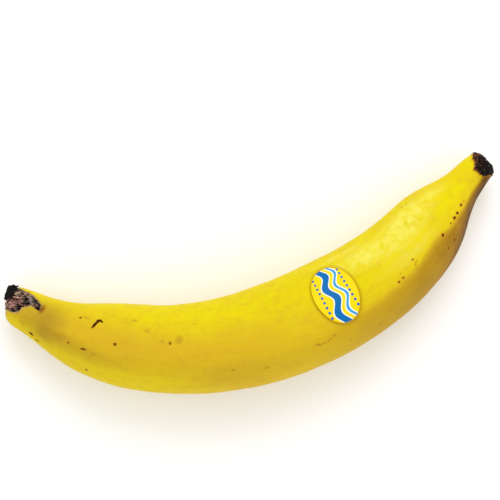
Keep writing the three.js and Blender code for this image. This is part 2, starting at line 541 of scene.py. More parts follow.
def add(
    tree: Tree,
    kind: Node,
    settings: dict[str, object] | None = None,
    links: dict[str | int, object] | None = None,
    out: str | int | None = None,
) -> Socket | None:
    """Adds a node with its settings and links.

    Args:
        tree: The tree that gets the node.
        kind: The kind of node.
        settings: Its properties, by name.
        links: What goes into its sockets, by their name or number: another socket or a value.
        out: The output wanted, by name or number, or None for the first.

    Returns:
        That output, or None for a node without outputs.
    """
    node = tree.nodes.new(kind.value)
    for name, value in (settings or {}).items():
        setattr(node, name, value)
    for key, value in (links or {}).items():
        found = node.inputs[key] if isinstance(key, int) else next(
            s for s in node.inputs if s.name == key and s.enabled)
        if isinstance(value, Socket):
            tree.links.new(value, found)
        else:
            found.default_value = value
    shown = [s for s in node.outputs if s.enabled]
    if not shown:
        return None
    return shown[out or 0] if not isinstance(out, str) else next(s for s in shown if s.name == out)


def new_material(name: str, preview: str, kept: dict[str, str]) -> tuple[Material, Tree, dict[str, Socket]]:
    """Starts a material.

    Args:
        name: The material's name.
        preview: Its plain colour in the viewport, as an sRGB hex code.
        kept: The values kept on the mesh that it reads, by name, each with its output, Vector or Fac.

    Returns:
        The material, its node tree, and the sockets of the kept values by name.
    """
    material = bpy.data.materials.new(name)
    material.use_nodes = True
    material.diffuse_color = colour(preview)
    tree = material.node_tree
    tree.nodes.clear()
    return material, tree, {
        value: add(tree, Node.ATTRIBUTE, {"attribute_name": value}, None, out) for value, out in kept.items()}


def new_tree(name: str, inputs: dict[str, str]) -> tuple[Tree, dict[str, Socket]]:
    """Starts a Geometry Nodes tree.

    Args:
        name: The tree's name.
        inputs: Its named inputs after the geometry, each with its kind of socket.

    Returns:
        The tree, and its inputs' sockets by name.
    """
    tree = bpy.data.node_groups.new(name, "GeometryNodeTree")
    tree.interface.new_socket("Geometry", in_out="INPUT", socket_type="NodeSocketGeometry")
    for label, kind in inputs.items():
        tree.interface.new_socket(label, in_out="INPUT", socket_type=kind)
    tree.interface.new_socket("Geometry", in_out="OUTPUT", socket_type="NodeSocketGeometry")
    node = tree.nodes.new("NodeGroupInput")
    return tree, {socket.name: socket for socket in node.outputs if socket.name}


def run_tree(piece: Thing, tree: Tree, values: dict[str, object]) -> bpy.types.Mesh:
    """Runs a Geometry Nodes tree on a piece and takes its result as a plain mesh.

    Args:
        piece: The object whose mesh goes in.
        tree: The tree.
        values: The value of each named input.

    Returns:
        The resulting mesh. The piece keeps its own, with no modifier.
    """
    modifier = piece.modifiers.new(tree.name, "NODES")
    modifier.node_group = tree
    for item in tree.interface.items_tree:
        if item.in_out == "INPUT" and item.name in values:
            modifier[item.identifier] = values[item.name]
    depsgraph = bpy.context.evaluated_depsgraph_get()
    evaluated = piece.evaluated_get(depsgraph)
    made = bpy.data.meshes.new_from_object(evaluated, depsgraph=depsgraph)
    piece.modifiers.remove(modifier)
    return made


@dataclass(frozen=True)
class Mark:
    """A mark on the peel: its place, its size in millimetres and its lean off the fruit's length."""

    at: float
    turn: float
    length: float
    width: float
    lean: float = 0.0
    strength: float = 1.0


# Dark scars and bruises, from the stem end on.
SCARS = (
    Mark(50.2, -26.3, 5.8, 1.3, -62), Mark(51.3, -32, 2.4, 1.7, -50), Mark(52.6, -32, 2.4, 0.9, 25),
    Mark(40.8, -33, 1.1, 1.0, 0, 0.75), Mark(62.3, -1.5, 1.7, 1.8, 60, 0.6),
    Mark(47.5, 14.5, 3.0, 1.1, -14, 0.58), Mark(39.5, 14, 1.5, 0.9, 0, 0.5),
    Mark(49.8, 54, 1.2, 1.1, 0, 0.7), Mark(20, 51, 2.6, 1.2, 10, 0.85), Mark(24, 60, 2.4, 0.8, 0, 0.7),
    Mark(89, -9, 1.4, 1.7, 0, 0.5), Mark(235, 40.5, 2.2, 1.3, -30, 0.6),
    Mark(230.5, 39.5, 1.5, 1.3, 0, 0.55),
)
# Russet dots in a chain along the ridge of the blossom half.
DOTS = (
    Mark(250.5, 20, 1.9, 1.2, -10, 0.8), Mark(246, 21, 1.5, 1.4), Mark(243.2, 20.5, 1.8, 1.4, 30),
    Mark(239.8, 20, 0.9, 0.9, 0, 0.7), Mark(232.8, 19.5, 1.9, 1.5, -35), Mark(214.7, 9, 1.3, 1.2, 0, 0.6),
    Mark(205.5, 16.5, 1.6, 1.5, 0, 0.65), Mark(202.8, 17, 1.4, 1.3, 0, 0.7),
    Mark(214, 15, 1.2, 1.1, 0, 0.5), Mark(205.8, 11, 0.9, 0.9, 0, 0.4),
)
# Faint reddish freckles.
FRECKLES = (
    Mark(215.5, 13.5, 1.4, 0.9), Mark(253, 21, 1.4, 1.0), Mark(156.5, 29.5, 3.6, 1.3, 25),
    Mark(159.3, 31, 1.8, 1.2), Mark(162, 30, 2.6, 1.0, -20), Mark(165, 27.5, 1.8, 1.0, 15),
    Mark(170.5, 46, 1.8, 1.1), Mark(186, 50, 2.0, 0.9), Mark(222, 34, 1.6, 0.9), Mark(235, -60, 1.2, 1.0),
    Mark(232.5, -61, 1.3, 1.0), Mark(131.8, 36.5, 1.3, 1.2), Mark(117, 28.5, 2.0, 1.2),
)
# Olive smudges on the stem half.
SMUDGES = (
    Mark(69.3, -39.5, 2.8, 1.8), Mark(66, -36, 5, 4, 0, 0.4), Mark(77, -25, 2.4, 1.8),
    Mark(93.5, -13.5, 3.4, 4.2, 20), Mark(85, -11.5, 1.8, 1.6, 0, 0.7), Mark(53, 16.5, 2.0, 1.6, 0, 0.8),
    Mark(14, 30, 3.8, 1.4, 35), Mark(58, -44, 2.4, 1.2, 0, 0.7), Mark(105, 22, 1.8, 1.0, 0, 0.7),
    Mark(26, 32, 7, 3, 5, 0.45), Mark(34, 12, 9, 4, -6, 0.5), Mark(27, 12, 5, 4, 12, 0.4),
    Mark(44, -35, 4, 1.6, 10, 0.7), Mark(101, -34, 3, 1.4, 0, 0.6),
)
# Broad soft olive patches that darken the peel near the stem and on the shoulders.
OLIVE_PATCHES = (
    Mark(23, 2, 22, 20, 0, 0.95), Mark(34, 14, 26, 9, 4, 0.6), Mark(52, 20, 30, 8, 6, 0.35),
    Mark(70, 4, 34, 16, 0, 0.12), Mark(97, 20, 44, 18, 0, 0.1), Mark(122, 38, 44, 18, 0, 0.3),
)
# The tints of the torn tissue.
ROSY = (Mark(6, -10, 7, 8, 0, 0.5), Mark(8, -24, 4, 4, 0, 0.35))
BEIGE = (Mark(5.8, -47, 6, 6.5, 0, 0.6), Mark(2.6, 4, 2.6, 5, 0, 0.5), Mark(9.2, -33, 3, 3, 0, 0.4))
ASHEN = (Mark(13.2, -40, 3.8, 4.8, 0, 0.75), Mark(12, -55, 4, 3, 0, 0.35))
# Brown staining beside the dried cap, and painted shade that darkens the convex edge towards the tip.
BROWNED_AND_SHADED = (
    Mark(271, 44, 9, 7, 0, 0.8), Mark(256, 52, 34, 7, 3, 0.5), Mark(249, 80, 44, 15, 0, 0.85),
    Mark(266, 66, 16, 9, 0, 0.9),
)
# The scorched spot beside the notch in the tear.
SCORCHED = (Mark(20.2, -24, 2.6, 4.4, 0, 0.75),)
# Painted highlights: pale patches in the peel's colour where the key light's sheen falls.
PAINTED_HIGHLIGHTS = (
    Mark(200, -36, 34, 11, 4, 0.85), Mark(224, -33, 36, 15, -6, 1.0), Mark(243, -40, 20, 7, 0, 0.6),
    Mark(216, 2, 30, 6, 4, 0.35), Mark(186, -60, 30, 5, 4, 0.5),
)
# The same kinds of mark on the sides that face down and away.
HIDDEN_SCARS = (
    Mark(66, 128, 2.6, 0.9, 20, 0.8), Mark(118, 112, 1.4, 1.1), Mark(151, 150, 3.4, 0.9, -25, 0.9),
    Mark(197, 121, 1.3, 1.2, 0, 0.8), Mark(90, -105, 1.6, 1.2, 0, 0.8), Mark(142, -122, 3.0, 0.8, 10, 0.9),
    Mark(208, -98, 1.2, 1.1, 0, 0.7), Mark(244, -128, 1.6, 1.2, 0, 0.9), Mark(58, -150, 1.4, 1.1, 0, 0.7),
)


# How far a mark reaches in and out of the peel, in millimetres.
MARK_HALF_DEPTH = 8.0


def draw_marks(tree: Tree, place: Socket, shape: FruitShape, marks: Sequence[Mark], soft: float) -> Socket:
    """Draws marks as one mask.

    Args:
        tree: The material's tree.
        place: The socket of the grown places.
        shape: The fruit's form, for the marks' distance from the middle line.
        marks: The marks.
        soft: The share of a mark's size over which it fades out.

    Returns:
        The socket of the mask, 1 inside the strongest marks.
    """
    mask = None
    for mark in marks:
        turn, lean = math.radians(mark.turn), math.radians(mark.lean)
        radius = float(shape.peel_radius(np.array(mark.at), np.array(mark.turn)))
        outward = Vector((0, math.sin(turn), math.cos(turn)))
        around = Vector((0, math.cos(turn), -math.sin(turn)))
        long_side = Vector((1, 0, 0)) * math.cos(lean) + around * math.sin(lean)
        own_frame = Matrix((long_side, outward.cross(long_side), outward)).transposed()
        local = add(tree, Node.MAPPING, {"vector_type": "TEXTURE"}, {
            "Vector": place,
            "Location": Vector((mark.at, 0, 0)) + outward * radius,
            "Rotation": own_frame.to_euler("XYZ"),
            "Scale": (mark.length / 2, mark.width / 2, MARK_HALF_DEPTH),
        })
        distance = add(tree, Node.VECTOR, {"operation": "LENGTH"}, {0: local}, "Value")
        one = add(tree, Node.RANGE, SMOOTH, {
            "Value": distance, "From Min": 1 + soft, "From Max": 1 - soft,
            "To Min": 0.0, "To Max": mark.strength,
        })
        mask = one if mask is None else add(tree, Node.MATH, {"operation": "MAXIMUM"}, {0: mask, 1: one})
    return mask


@dataclass(frozen=True)
class Tint:
    """A colour laid over those below it, by a share that grows as a pattern goes from start to end."""

    pattern: str
    code: str
    start: float = 0.0
    end: float = 1.0
    share: float = 1.0
    smooth: bool = False


def lay_tints(tree: Tree, body: Shade, patterns: dict[str, Socket], tints: Sequence[Tint]) -> Socket:
    """Lays tints over a colour, one after the other.

    Args:
        tree: The material's tree.
        body: The colour or its socket.
        patterns: The socket of each pattern that the tints name.
        tints: The tints, the lowest first.

    Returns:
        The socket of the tinted colour.
    """
    for tint in tints:
        share = add(tree, Node.RANGE, SMOOTH if tint.smooth else None, {
            "Value": patterns[tint.pattern], "From Min": tint.start, "From Max": tint.end,
            "To Max": tint.share})
        body = add(tree, Node.MIX, COLOURS, {"Factor": share, "A": body, "B": colour(tint.code)})
    return body


def lay_surface(
    tree: Tree, look: dict[str, object], relief: tuple[Socket, float, float] | None = None
) -> None:
    """Ends a material in its surface.

    Args:
        tree: The material's tree.
        look: What goes into the surface's sockets, by name.
        relief: The socket of its fine relief, with its strength and its depth in millimetres, or None.
    """
    if relief is not None:
        height, strength, depth = relief
        look["Normal"] = add(tree, Node.BUMP, None, {
            "Height": height, "Strength": strength, "Distance": depth * MM})
    shader = add(tree, Node.PRINCIPLED, None, look)
    add(tree, Node.MATERIAL_OUTPUT, None, {"Surface": shader})


@dataclass(frozen=True)
class SoftLine:
    """A line along the fruit where its colour changes: its two ends and its softness there in degrees."""

    from_at: float
    from_turn: float
    to_at: float
    to_turn: float
    softness: tuple[float, float]

    def past(self, tree: Tree, at: Socket, turn: Socket) -> Socket:
        """Draws which side of the line a place is on.

        Args:
            tree: The material's tree.
            at: The socket of the lengths.
            turn: The socket of the turns.

        Returns:
            The socket of the share, 0 before the line and 1 past it.
        """
        line, softness = (add(tree, Node.RANGE, None, {
            "Value": at, "From Min": self.from_at, "From Max": self.to_at,
            "To Min": math.radians(first), "To Max": math.radians(last),
        }) for first, last in ((self.from_turn, self.to_turn), self.softness))
        past = add(tree, Node.MATH, {"operation": "SUBTRACT"}, {0: turn, 1: line})
        share = add(tree, Node.MATH, {"operation": "DIVIDE"}, {0: past, 1: softness})
        return add(tree, Node.RANGE, SMOOTH, {"Value": share, "From Min": -1.0, "From Max": 1.0})


@dataclass(frozen=True)
class RipePeel:
    """Ripe plantain peel: a waxy skin, lemon yellow on top and golden below, freckled and scarred. The golden
    and the brown of the side away from the light are partly its own colour and partly painted shade.

    The wax gives a soft satin sheen over a strong body colour.
    """

    shape: FruitShape
    lemon: str = "#dac905"
    golden: str = "#cdab1f"
    brown_gold: str = "#7d4816"
    golden_and_shade_line: SoftLine = SoftLine(40.0, -42.0, 230.0, 14.0, (34.0, 16.0))
    last_ridge: SoftLine = SoftLine(234.0, 20.0, 258.0, 31.0, (6.0, 6.0))
    line_wander: float = 0.3
    under_share: float = 0.6
    edge_wander: float = 1.2
    border_wander: float = 1.8
    roughness: float = 0.46
    scar_roughness: float = 0.3
    relief: float = 1.5
    tints: tuple[Tint, ...] = (
        # Mottling a few centimetres across, and streaks that run along the fruit.
        Tint("mottle", "#cdab1f", 0.35, 0.7, 0.3), Tint("blotch", "#bc8d28", 0.48, 0.72, 0.28),
        Tint("streaks", "#b38626", 0.42, 0.75, 0.14), Tint("grain", "#cb9c2a", 0.5, 0.8, 0.25),
        # A painted highlight in pale yellow, and painted shadow that darkens the peel just round the label's
        # edge.
        Tint("painted_highlight", "#e4dc5f"), Tint("painted_label_shadow", "#9e830b", 1.16, 1.0, 0.4, True),
        # Olive patches, reddish freckles and brown smudges.
        Tint("olive_patches", "#a28124", 0.0, 2 / 3), Tint("freckles", "#9b6518", share=0.6),
        Tint("smudges", "#9a6a1c", share=0.4),
        # Scars and dots have a dark heart in a paler fringe.
        Tint("scars", "#9b6518", 0.02, 0.4), Tint("scars", "#3c1b03", 0.3, 0.7),
        Tint("dots", "#ba811d", 0.02, 0.52), Tint("dots", "#4d0c00", 0.42, 0.82),
        # A pale torn lip with a bruised rim behind it, scorched in the notch.
        Tint("past_tear", "#9e7c36", 2.4, 0.4, 0.5, True), Tint("past_tear", "#ccac7c", 0.8, 0.2, 1.0, True),
        Tint("scorched", "#722c12"),
        # Brown staining with painted shade at the convex edge, then a singed and a burnt border before the
        # cap.
        Tint("browned_and_shaded", "#452406"), Tint("before_cap", "#9b6518", 1.8, 0.2, 0.75, True),
        Tint("before_cap", "#723f14", 0.5, 0.0, 1.0, True),
    )

    def ground(self, tree: Tree, place: Socket) -> Socket:
        """Draws the peel's ground colour: lemon on top, golden below, brown past the last ridge; the golden
        and the brown are partly the peel's own colour and partly painted shade on the side away from the key
        light.

        Args:
            tree: The material's tree.
            place: The socket of the grown places.

        Returns:
            The socket of the colour.
        """
        at, convex, up = (add(tree, Node.SEPARATE, None, {0: place}, name) for name in "XYZ")
        turn = add(tree, Node.MATH, {"operation": "ARCTAN2"}, {0: convex, 1: up})
        wander = add(tree, Node.NOISE, None, {"Vector": place, "Scale": 0.05, "Detail": 3.0})
        wavering = add(tree, Node.MATH, MULTIPLY_ADD, {0: wander, 1: self.line_wander, 2: turn})
        wavering = add(tree, Node.MATH, {"operation": "SUBTRACT"}, {0: wavering, 1: self.line_wander / 2})
        flat = add(tree, Node.COMBINE, None, {"Y": convex, "Z": up})
        across = add(tree, Node.VECTOR, {"operation": "NORMALIZE"}, {0: flat})
        height = add(tree, Node.SEPARATE, None, {0: across}, "Z")
        beside, near_stem, under, ripe, past_middle, deeper = (add(tree, Node.RANGE, how, {
            "Value": value, "From Min": start, "From Max": end, "To Min": first, "To Max": last,
        }) for value, how, start, end, first, last in (
            (turn, SMOOTH, math.radians(5), math.radians(50), 0.0, 1.0),
            (at, SMOOTH, 130.0, 75.0, 0.0, 0.65),
            (height, SMOOTH, -0.35, -0.9, 0.0, 1.0),
            (at, SMOOTH, 130.0, 268.0, 0.0, 1.0),
            (at, None, 120.0, 200.0, 1.0, 0.45),
            (turn, None, math.radians(20), math.radians(52), 0.8, 1.0),
        ))

        # Near the stem the side that faces down is lemon yellow again, painted light from the floor's bounce.
        # The underside is between the two, so that no seam shows at the bottom.
        back = add(tree, Node.MATH, MULTIPLY, {0: beside, 1: near_stem})
        golden_and_shade = self.golden_and_shade_line.past(tree, at, wavering)
        golden_and_shade = add(tree, Node.MIX, None, {"Factor": back, "A": golden_and_shade, "B": 0.0})
        golden_and_shade = add(tree, Node.MATH, MULTIPLY, {0: golden_and_shade, 1: past_middle})
        golden_and_shade = add(tree, Node.MIX, None, {"Factor": under, "A": golden_and_shade, "B": self.under_share})
        # Painted shade in part: brown past the last ridge, deeper towards the convex side that faces away
        # from the key light.
        brown = add(tree, Node.MATH, MULTIPLY, {0: self.last_ridge.past(tree, at, wavering), 1: ripe})
        brown = add(tree, Node.MATH, MULTIPLY, {0: brown, 1: deeper})
        brown = add(tree, Node.MIX, None, {"Factor": under, "A": brown, "B": 0.0})
        return lay_tints(tree, colour(self.lemon), {"golden_and_shade": golden_and_shade, "brown": brown}, (
            Tint("golden_and_shade", self.golden), Tint("brown", self.golden, 0.0, 0.25),
            Tint("brown", self.brown_gold)))

    def patterns(self, tree: Tree, kept: dict[str, Socket]) -> dict[str, Socket]:
        """Draws the patterns that the tints follow.

        Args:
            tree: The material's tree.
            kept: The sockets of the values kept on the peel, by name.

        Returns:
            The sockets of the patterns, by name.
        """
        place = kept["grown"]
        drawn = {"painted_label_shadow": kept["painted_label_shadow"]}
        stretched = add(tree, Node.VECTOR, MULTIPLY, {0: place, 1: (0.05, 0.42, 0.42)})
        for name, where, scale, detail, rough in (
            ("mottle", place, 0.07, 4.0, 0.55), ("streaks", stretched, 1.0, 4.0, 0.6),
            ("grain", place, 0.9, 3.0, 0.6), ("blotch", place, 0.24, 4.0, 0.6),
        ):
            drawn[name] = add(tree, Node.NOISE, None, {
                "Vector": where, "Scale": scale, "Detail": detail, "Roughness": rough})

        # Edges of marks wander by about half a millimetre.
        rough_edge = add(tree, Node.NOISE, None, {"Vector": place, "Scale": 0.8, "Detail": 2.0}, "Color")
        rough_edge = add(tree, Node.VECTOR, {"operation": "SUBTRACT"}, {0: rough_edge, 1: (0.5, 0.5, 0.5)})
        wandering = add(tree, Node.VECTOR, MULTIPLY_ADD, {
            0: rough_edge, 1: (self.edge_wander,) * 3, 2: place})
        for name, where, marks, soft in (
            ("painted_highlight", place, PAINTED_HIGHLIGHTS, 0.8), ("olive_patches", place, OLIVE_PATCHES, 0.75),
            ("freckles", wandering, FRECKLES, 0.6), ("smudges", wandering, SMUDGES, 0.7),
            ("scars", wandering, SCARS + HIDDEN_SCARS, 0.6), ("dots", wandering, DOTS, 0.8),
            ("scorched", wandering, SCORCHED, 0.8), ("browned_and_shaded", wandering, BROWNED_AND_SHADED, 0.7),
        ):
            drawn[name] = draw_marks(tree, where, self.shape, marks, soft)

        # The painted highlights are cloudy, the olive patches mottled, and the browning with its painted
        # shade streaked.
        cloudy = add(tree, Node.RANGE, None, {"Value": drawn["blotch"], "From Min": 0.3, "From Max": 0.62})
        streaked = add(tree, Node.RANGE, None, {
            "Value": drawn["streaks"], "From Min": 0.35, "From Max": 0.65, "To Min": 0.65, "To Max": 1.15})
        for name, factor in (("painted_highlight", cloudy), ("olive_patches", drawn["mottle"]), ("browned_and_shaded", streaked)):
            drawn[name] = add(tree, Node.MATH, MULTIPLY, {0: drawn[name], 1: factor})

        uneven = add(tree, Node.MATH, MULTIPLY_ADD, {
            0: drawn["grain"], 1: self.border_wander, 2: -self.border_wander / 2})
        for name in ("past_tear", "before_cap"):
            drawn[name] = add(tree, Node.MATH, {"operation": "ADD"}, {0: kept[name], 1: uneven})
        return drawn

    def material(self) -> Material:
        """Returns the peel's material."""
        made, tree, kept = new_material("waxy_ripe_peel", self.lemon, {
            "grown": "Vector", "past_tear": "Fac", "before_cap": "Fac", "painted_label_shadow": "Fac"})
        place = kept["grown"]
        drawn = self.patterns(tree, kept)
        body = lay_tints(tree, self.ground(tree, place), drawn, self.tints)

        # Wax: satin, a little duller where streaked and scarred.
        scars = add(tree, Node.MATH, {"operation": "MAXIMUM"}, {0: drawn["scars"], 1: drawn["dots"]})
        satin = add(tree, Node.RANGE, None, {
            "Value": drawn["streaks"], "From Min": 0.3, "From Max": 0.7,
            "To Min": self.roughness - 0.05, "To Max": self.roughness + 0.08})
        satin = add(tree, Node.MATH, {**MULTIPLY_ADD, "use_clamp": True}, {
            0: scars, 1: self.scar_roughness, 2: satin})
        pores = add(tree, Node.NOISE, None, {"Vector": place, "Scale": 2.2, "Detail": 2.0})
        relief = add(tree, Node.MATH, MULTIPLY_ADD, {0: drawn["streaks"], 1: self.relief, 2: pores})
        relief = add(tree, Node.MATH, MULTIPLY_ADD, {0: scars, 1: -self.relief, 2: relief})
        lay_surface(tree, {
            "Base Color": body, "Roughness": satin, "IOR": 1.45, "Specular IOR Level": 0.035,
            "Subsurface Weight": 0.08, "Subsurface Radius": (1.0, 0.6, 0.15), "Subsurface Scale": 1.5 * MM,
        }, (relief, 0.25, 0.1))
        return made


@dataclass(frozen=True)
class TornTissue:
    """Dry torn stem tissue: matted fibres, pinkish brown and beige over pits blackened with painted shade.

    It takes no gloss, and its colour breaks up along the fibres.
    """

    shape: FruitShape
    pit: str = "#090303"
    maroon: str = "#401418"
    flesh: str = "#904743"
    fibre: str = "#d4b492"
    ash: str = "#a59d9d"
    rose: str = "#b36c69"
    roughness: float = 0.88

    def material(self) -> Material:
        """Returns the torn tissue's material."""
        made, tree, drawn = new_material("dry_torn_stem_tissue", self.flesh, {
            "grown": "Vector", "relief": "Fac", "past_tear": "Fac", "charred": "Fac", "hollow": "Fac"})
        place = drawn["grown"]
        stretched = add(tree, Node.VECTOR, MULTIPLY, {0: place, 1: (0.8, 1.5, 1.5)})
        drawn["strands"] = add(tree, Node.NOISE, None, {
            "Vector": stretched, "Scale": 1.0, "Detail": 4.0, "Roughness": 0.75})
        drawn["patches"] = add(tree, Node.NOISE, None, {"Vector": place, "Scale": 0.28, "Detail": 3.0})
        body = lay_tints(tree, colour(self.flesh), drawn, (
            Tint("strands", self.fibre, 0.4, 0.62), Tint("patches", self.ash, 0.52, 0.62, 0.7)))
        body = self.grown_tints(tree, place, body)
        rim = add(tree, Node.RANGE, SMOOTH, {
            "Value": drawn["past_tear"], "From Min": -1.6, "From Max": -0.2, "To Max": 0.7})
        drawn["black"] = add(tree, Node.MATH, {"operation": "MAXIMUM"}, {
            0: self.darkness(tree, drawn), 1: rim})
        # Painted shade: maroon and black where the relief presses in, and black down in the hollows.
        body = lay_tints(tree, body, drawn, (
            Tint("relief", self.maroon, 0.28, 0.55, 1.0, True),
            Tint("relief", self.pit, 0.45, 0.68, 1.0, True),
            Tint("black", self.pit)))
        lay_surface(tree, {
            "Base Color": body, "Roughness": self.roughness, "Specular IOR Level": 0.15,
        }, (drawn["strands"], 0.7, 0.4))
        return made

    def grown_tints(self, tree: Tree, place: Socket, body: Shade) -> Socket:
        """Tints the tissue: rosy by the stem end's lower edge, beige on top, ashen by the notch.

        Args:
            tree: The material's tree.
            place: The socket of the grown places.
            body: The socket of the colour so far.

        Returns:
            The socket of the tinted colour.
        """
        drawn = {
            tint: draw_marks(tree, place, self.shape, marks, 0.6)
            for tint, marks in ((self.rose, ROSY), (self.fibre, BEIGE), (self.ash, ASHEN))
        }
        return lay_tints(tree, body, drawn, [Tint(tint, tint) for tint in drawn])

    @staticmethod
    def darkness(tree: Tree, kept: dict[str, Socket]) -> Socket:
        """Draws where the tissue is black: on the charred stub, and down in the hollows as painted shade.

        Args:
            tree: The material's tree.
            kept: The sockets of the values kept on the mesh, by name.

        Returns:
            The socket of the share, from 0 to 1.
        """
        charred, hollow = (add(tree, Node.RANGE, SMOOTH, {
            "Value": kept[name], "From Min": least, "From Max": most, "To Max": 0.97,
        }) for name, least, most in (("charred", 0.22, 0.5), ("hollow", 0.35, 0.7)))
        return add(tree, Node.MATH, {"operation": "MAXIMUM"}, {0: charred, 1: hollow})

    def strand_material(self) -> Material:
        """Returns the loose strands' material, each strand in its own tone."""
        made, tree, kept = new_material("dry_stem_strand", self.fibre, {
            "grown": "Vector", "tone": "Fac", "charred": "Fac", "hollow": "Fac"})
        place = kept["grown"]
        tone = add(tree, Node.RANGE, None, {"Value": kept["tone"], "From Min": 0.3, "From Max": 0.85})
        patches = add(tree, Node.NOISE, None, {"Vector": place, "Scale": 0.5, "Detail": 2.0})
        drawn = {"tone": tone, "patches": patches, "dark": self.darkness(tree, kept)}
        body = lay_tints(tree, colour(self.pit), drawn, (
            Tint("tone", self.fibre), Tint("patches", self.ash, 0.5, 0.7, 0.4)))
        tinted = self.grown_tints(tree, place, body)
        body = add(tree, Node.MIX, COLOURS, {"Factor": tone, "A": body, "B": tinted})
        # Strands on the charred stub are black, and those down in the hollows are blackened as painted shade.
        body = lay_tints(tree, body, drawn, (Tint("dark", self.pit),))
        lay_surface(tree, {"Base Color": body, "Roughness": self.roughness, "Specular IOR Level": 0.25})
        return made


@dataclass(frozen=True)
class DriedCrust:
    """The dried blossom cap: a charred-looking granular crust with rust-brown breaks.

    It is matt, with small glints where its grains face the light, and glints painted pale on a few grains.
    """

    char: str = "#0b0603"
    umber: str = "#27150b"
    rust: str = "#87482f"
    beige_glint: str = "#cba07c"
    glint: str = "#868b8f"
    roughness: float = 0.75
    grain_roughness: float = 0.4

    def material(self) -> Material:
        """Returns the crust's material."""
        made, tree, drawn = new_material("dried_blossom_crust", self.char, {
            "grown": "Vector", "relief": "Fac"})
        place = drawn["grown"]
        drawn["rusty"] = self.rust_share(tree, place)
        # Painted shade: the crust turns char-black down in its cracks.
        body = lay_tints(tree, colour(self.umber), drawn, (
            Tint("rusty", self.rust), Tint("relief", self.char, 0.15, 0.5, 1.0, True)))
        grit = add(tree, Node.NOISE, None, {"Vector": place, "Scale": 2.5, "Detail": 3.0})
        lay_surface(tree, {
            "Base Color": body, "Roughness": self.roughness, "Specular IOR Level": 0.1,
        }, (grit, 0.7, 0.3))
        return made

    def rust_share(self, tree: Tree, place: Socket) -> Socket:
        """Draws how rusty the crust is, most on the concave side near the peel.

        Args:
            tree: The material's tree.
            place: The socket of the grown places.

        Returns:
            The socket of the share, from 0 to 1.
        """
        lean = add(tree, Node.VECTOR, {"operation": "DOT_PRODUCT"}, {0: place, 1: (-0.1, -0.2, 0.0)}, "Value")
        speckle = add(tree, Node.NOISE, None, {
            "Vector": place, "Scale": 1.1, "Detail": 3.0, "Roughness": 0.7})
        share = add(tree, Node.MATH, MULTIPLY_ADD, {0: speckle, 1: 3.0, 2: lean})
        return add(tree, Node.RANGE, SMOOTH, {"Value": share, "From Min": -26.3, "From Max": -25.1})

    def grain_material(self) -> Material:
        """Returns the loose grains' material, each grain in its own tone."""
        made, tree, drawn = new_material("dried_crust_grain", self.umber, {"grown": "Vector", "tone": "Fac"})
        rusty = self.rust_share(tree, drawn["grown"])
        drawn["bright"] = add(tree, Node.MATH, MULTIPLY, {0: rusty, 1: drawn["tone"]})
        # Painted glints: a few of the brightest rusty grains are pale beige, and a few charred ones
        # grey-blue.
        glinting = add(tree, Node.RANGE, None, {
            "Value": drawn["tone"], "From Min": 0.965, "From Max": 0.98, "To Max": 0.6})
        charred = add(tree, Node.MATH, {"operation": "SUBTRACT"}, {0: 1.0, 1: rusty})
        drawn["glint"] = add(tree, Node.MATH, MULTIPLY, {0: glinting, 1: charred})
        body = lay_tints(tree, colour(self.char), drawn, (
            Tint("tone", self.umber), Tint("bright", self.rust),
            Tint("bright", self.beige_glint, 0.7, 1.0, 0.7), Tint("glint", self.glint)))
        lay_surface(tree, {
            "Base Color": body, "Roughness": self.grain_roughness, "Specular IOR Level": 0.2})
        return made


